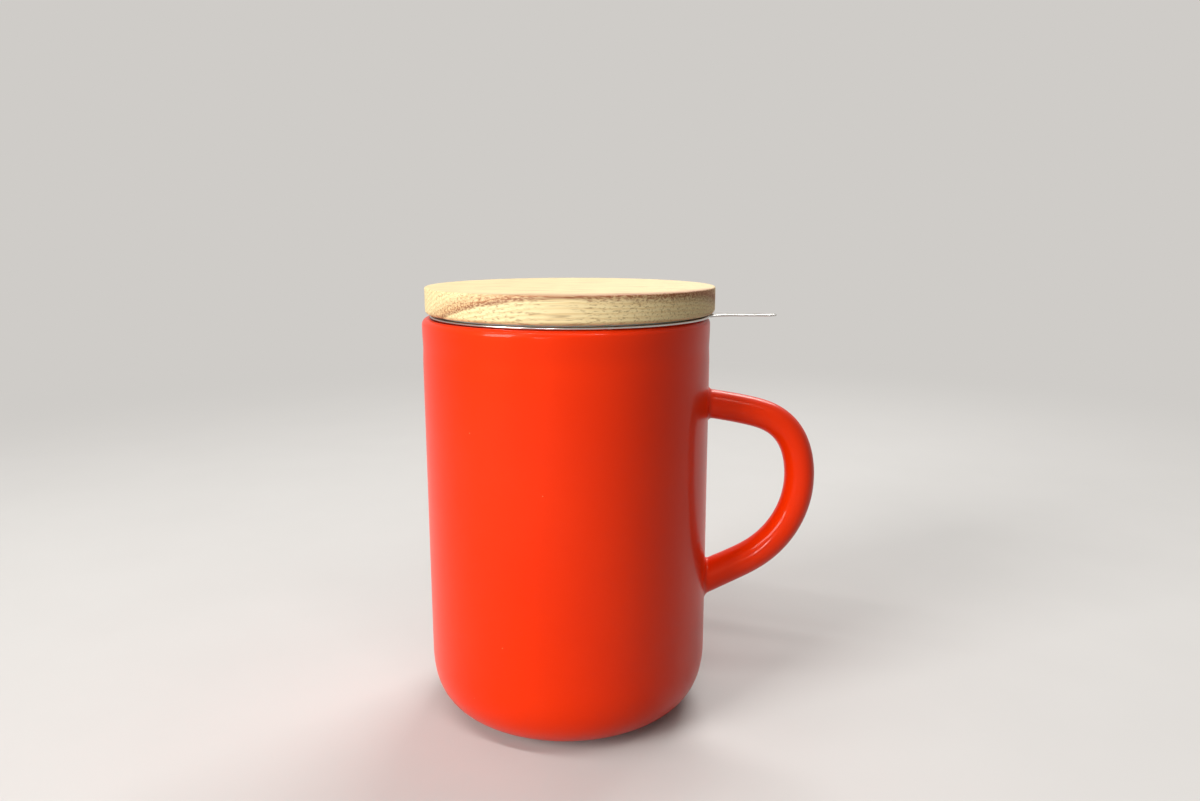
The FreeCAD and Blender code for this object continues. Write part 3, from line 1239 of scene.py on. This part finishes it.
@dataclass
class Lid:
    """The lift-off lid: a turned disc, a boss that drops into the infuser, and a silicone seal."""

    wood: bpy.types.Material
    silicone: bpy.types.Material
    axis_x: float
    radius: float
    low: float
    top: float
    seal_bore: float = 33.5
    seal_radius: float = 35.0
    seal_rib_radius: float = 35.9
    seal_flange_radius: float = 39.5
    seal_flange: float = 0.6
    seal_edge: float = 0.25
    seal_bottom: float = 115.85
    rib_width: float = 1.2
    rib_pitch: float = 1.6
    top_edge: float = 0.4
    bottom_edge: float = 1.2
    top_shares: tuple[float, ...] = (0.85, 0.6, 0.3, 0.0)
    bottom_share: float = 0.6
    plug_depth: float = 8.0
    plug_lip_height: float = 2.0
    plug_neck_radius: float = 33.45
    plug_lip_radius: float = 34.45
    plug_chamfer: float = 0.6
    plug_edge: float = 0.2
    segments: int = 256

    def disc(self) -> bpy.types.Object:
        """Builds the turned disc."""
        low_centre = (self.radius - self.bottom_edge, self.low + self.bottom_edge)
        top_centre = (self.radius - self.top_edge, self.top - self.top_edge)
        outline = [(0.0, self.low), (self.bottom_share * self.radius, self.low)]
        outline += arc(low_centre, self.bottom_edge, -90, 0, 8)
        outline += [(self.radius, (self.low + self.top) / 2)]
        outline += arc(top_centre, self.top_edge, 0, 90, 6)
        outline += [(self.radius * share, self.top) for share in self.top_shares]
        grid = lathe(outline, self.axis_x, self.segments, closed=False)
        return dress(as_object("turned_lid_disc", grid), Body.LID, Slot.WOOD, self.wood, "lid_disc")

    def plug(self) -> bpy.types.Object:
        """Builds the boss with the lip that holds the seal."""
        bottom = self.low - self.plug_depth
        shoulder = bottom + self.plug_lip_height
        outline = rounded([
            (0.0, bottom), (self.plug_lip_radius - self.plug_chamfer, bottom),
            (self.plug_lip_radius, bottom + self.plug_chamfer), (self.plug_lip_radius, shoulder),
            (self.plug_neck_radius, shoulder), (self.plug_neck_radius, self.low), (0.0, self.low),
        ], self.plug_edge, closed=False)
        grid = lathe(outline, self.axis_x, self.segments, closed=False)
        return dress(as_object("turned_lid_boss", grid), Body.LID, Slot.WOOD, self.wood, "lid_plug")

    def seal(self) -> bpy.types.Object:
        """Builds the silicone sleeve with its two ribs and its flange."""
        points = [(self.seal_bore, self.seal_bottom), (self.seal_radius, self.seal_bottom)]
        for rib in range(2):
            foot = self.seal_bottom + self.rib_pitch * (rib + 1) - self.rib_width
            points.append((self.seal_radius, foot))
            points.append((self.seal_rib_radius, foot + self.rib_width / 2))
            points.append((self.seal_radius, foot + self.rib_width))
        points += [
            (self.seal_radius, self.low - self.seal_flange),
            (self.seal_flange_radius, self.low - self.seal_flange),
            (self.seal_flange_radius, self.low), (self.seal_bore, self.low),
        ]
        grid = lathe(rounded(points, self.seal_edge), self.axis_x, self.segments)
        return dress(as_object("ribbed_seal", grid), Body.LID, Slot.SILICONE, self.silicone, "lid_seal")


# The studio


@dataclass(frozen=True)
class Lamp:
    """A rectangular soft lamp, with its place and size in metres."""

    name: str
    place: tuple[float, float, float]
    size: tuple[float, float]
    watts: float

    def hang(self, aim: Vector) -> None:
        """Hangs the lamp.

        Args:
            aim: The point that it faces, in metres.
        """
        data = bpy.data.lights.new(self.name, "AREA")
        data.shape = "RECTANGLE"
        data.size, data.size_y = self.size
        data.energy = self.watts
        lamp = bpy.data.objects.new(self.name, data)
        lamp.location = self.place
        lamp.rotation_euler = (aim - Vector(self.place)).to_track_quat("-Z", "Y").to_euler()
        bpy.context.scene.collection.objects.link(lamp)


@dataclass
class Studio:
    """A pale floor, soft lamps and a camera just above the lid's height."""

    camera_place: tuple[float, float, float] = (23.96, -267.7, 145.8)
    camera_tilt: float = 79.22
    camera_turn: float = 3.0
    lens: float = 27.03
    sensor: float = 36.0
    board: str = "#CFCCC8"
    board_cloud: str = "#CAC7C3"
    board_shade: str = "#787674"
    shade: float = 0.11
    board_cloud_mm: float = 50.0
    board_roughness: float = 0.8
    floor_radius: float = 6.0
    floor_sides: int = 96
    seen_as_lit: float = 0.22
    seen_as_backdrop: float = 0.75
    aim: tuple[float, float, float] = (0.0, 0.0, 0.065)
    lamps: tuple[Lamp, ...] = (
        Lamp("key", (-0.88, -0.8, 0.5), (0.5, 0.7), 16.5),
        Lamp("strip", (-0.15, -0.4, 1.0), (1.5, 0.035), 5.5),
        Lamp("front", (-0.25, -1.05, 0.2), (0.2, 0.05), 2.0),
        Lamp("overhead", (-0.1, 0.3, 1.3), (0.9, 0.5), 1.5),
        Lamp("back", (0.35, 0.95, 1.05), (0.8, 0.4), 13.0),
    )

    def camera(self) -> None:
        """Places the camera."""
        data = bpy.data.cameras.new("camera")
        data.lens = self.lens
        data.sensor_width = self.sensor
        data.clip_start = 0.01
        camera = bpy.data.objects.new("camera", data)
        camera.location = Vector(self.camera_place) * MM
        camera.rotation_euler = (math.radians(self.camera_tilt), 0.0, math.radians(self.camera_turn))
        bpy.context.scene.collection.objects.link(camera)
        bpy.context.scene.camera = camera

    def pale_rays(self, add: AddNode) -> bpy.types.Node:
        """Gives 1 for the rays that show the backdrop: seen, mirrored or seen through."""
        rays = add("LightPath")
        mirrored = add(
            "Math", {0: rays.outputs["Is Camera Ray"], 1: rays.outputs["Is Glossy Ray"]},
            operation="MAXIMUM",
        )
        return add(
            "Math", {0: mirrored, 1: rays.outputs["Is Transmission Ray"]}, operation="MAXIMUM",
        )

    def world(self) -> None:
        """Sets a pale backdrop that lights the mug only a little."""
        world = bpy.data.worlds.new("studio")
        world.use_nodes = True
        bpy.context.scene.world = world
        world.node_tree.nodes.clear()
        add = partial(add_node, world.node_tree)
        strength = add("MapRange", {"Value": self.pale_rays(add), "To Min": self.shade, "To Max": 1.0})
        backdrop = add("Background", {"Color": linear(self.board), "Strength": strength})
        add("OutputWorld", {0: backdrop})

    def floor(self) -> None:
        """Lays a large round floor under the mug, that runs into the backdrop far from it."""
        material, add, place = new_material("matt_painted_board")
        cloud = add("TexNoise", {"Vector": place, "Scale": 1 / self.board_cloud_mm, "Detail": 3.0})
        tone = add(
            "Mix", {0: cloud, 6: linear(self.board), 7: linear(self.board_cloud)}, data_type="RGBA",
        )
        pale = self.pale_rays(add)
        seen_tone = add(
            "Mix", {0: pale, 6: linear(self.board_shade), 7: tone.outputs[2]}, data_type="RGBA",
        )
        painted = add(
            "BsdfPrincipled", {"Base Color": seen_tone.outputs[2], "Roughness": self.board_roughness},
        )
        backdrop = add("Emission", {"Color": linear(self.board), "Strength": 1.0})
        away = add("VectorMath", {0: place}, operation="LENGTH")
        far = add(
            "MapRange",
            {"Value": away.outputs["Value"], "From Min": self.seen_as_lit / MM,
             "From Max": self.seen_as_backdrop / MM},
            interpolation_type="SMOOTHSTEP",
        )
        share = add("Math", {0: far, 1: pale}, operation="MULTIPLY")
        shader = add("MixShader", {0: share, 1: painted, 2: backdrop})
        add("OutputMaterial", {0: shader})
        grid = bmesh.new()
        bmesh.ops.create_circle(
            grid, cap_ends=True, segments=self.floor_sides, radius=self.floor_radius / MM,
        )
        floor = as_object("studio_floor", grid)
        floor.data.materials.append(material)

    def build(self) -> None:
        """Sets up the whole studio."""
        bpy.context.scene.view_settings.view_transform = "Standard"
        self.camera()
        self.world()
        self.floor()
        for lamp in self.lamps:
            lamp.hang(Vector(self.aim))


def main() -> None:
    """Builds the studio and the mug's sub-assemblies, from the table up."""
    logging.basicConfig(level=logging.INFO, format="%(name)s: %(message)s")
    Studio().build()
    _, shell_high = box_mm("mug_shell")
    mug = MugBody(GlazedStoneware(), radius=shell_high.x, height=shell_high.z)
    shell = mug.build()
    LoopHandle(shell.data.materials[0], mug_radius=mug.radius).build()
    collar_low, collar_high = box_mm("infuser_collar")
    _, tab_high = box_mm("infuser_tab")
    steel = StainlessSteel()
    punched = StainlessSteel(name="punched_stainless", roughness=0.27, dent_depth_mm=0.015)
    rim_height = Infuser.collar_sheet + Infuser.rim_proud
    infuser = Infuser(
        steel.material(), punched.material(), axis_x=(collar_low.x + collar_high.x) / 2,
        collar_radius=collar_high.y, flange_height=collar_high.z - rim_height, tab_tip=tab_high.x,
    )
    infuser.collar()
    infuser.tab()
    infuser.sleeve()
    infuser.dish()
    infuser.hem()
    disc_low, disc_high = box_mm("lid_disc")
    lid = Lid(
        TurnedHardwood().material(), MouldedSilicone().material(), axis_x=(disc_low.x + disc_high.x) / 2,
        radius=disc_high.y, low=disc_low.z, top=disc_high.z,
    )
    lid.disc()
    lid.plug()
    lid.seal()


if __name__ == "__main__":
    main()
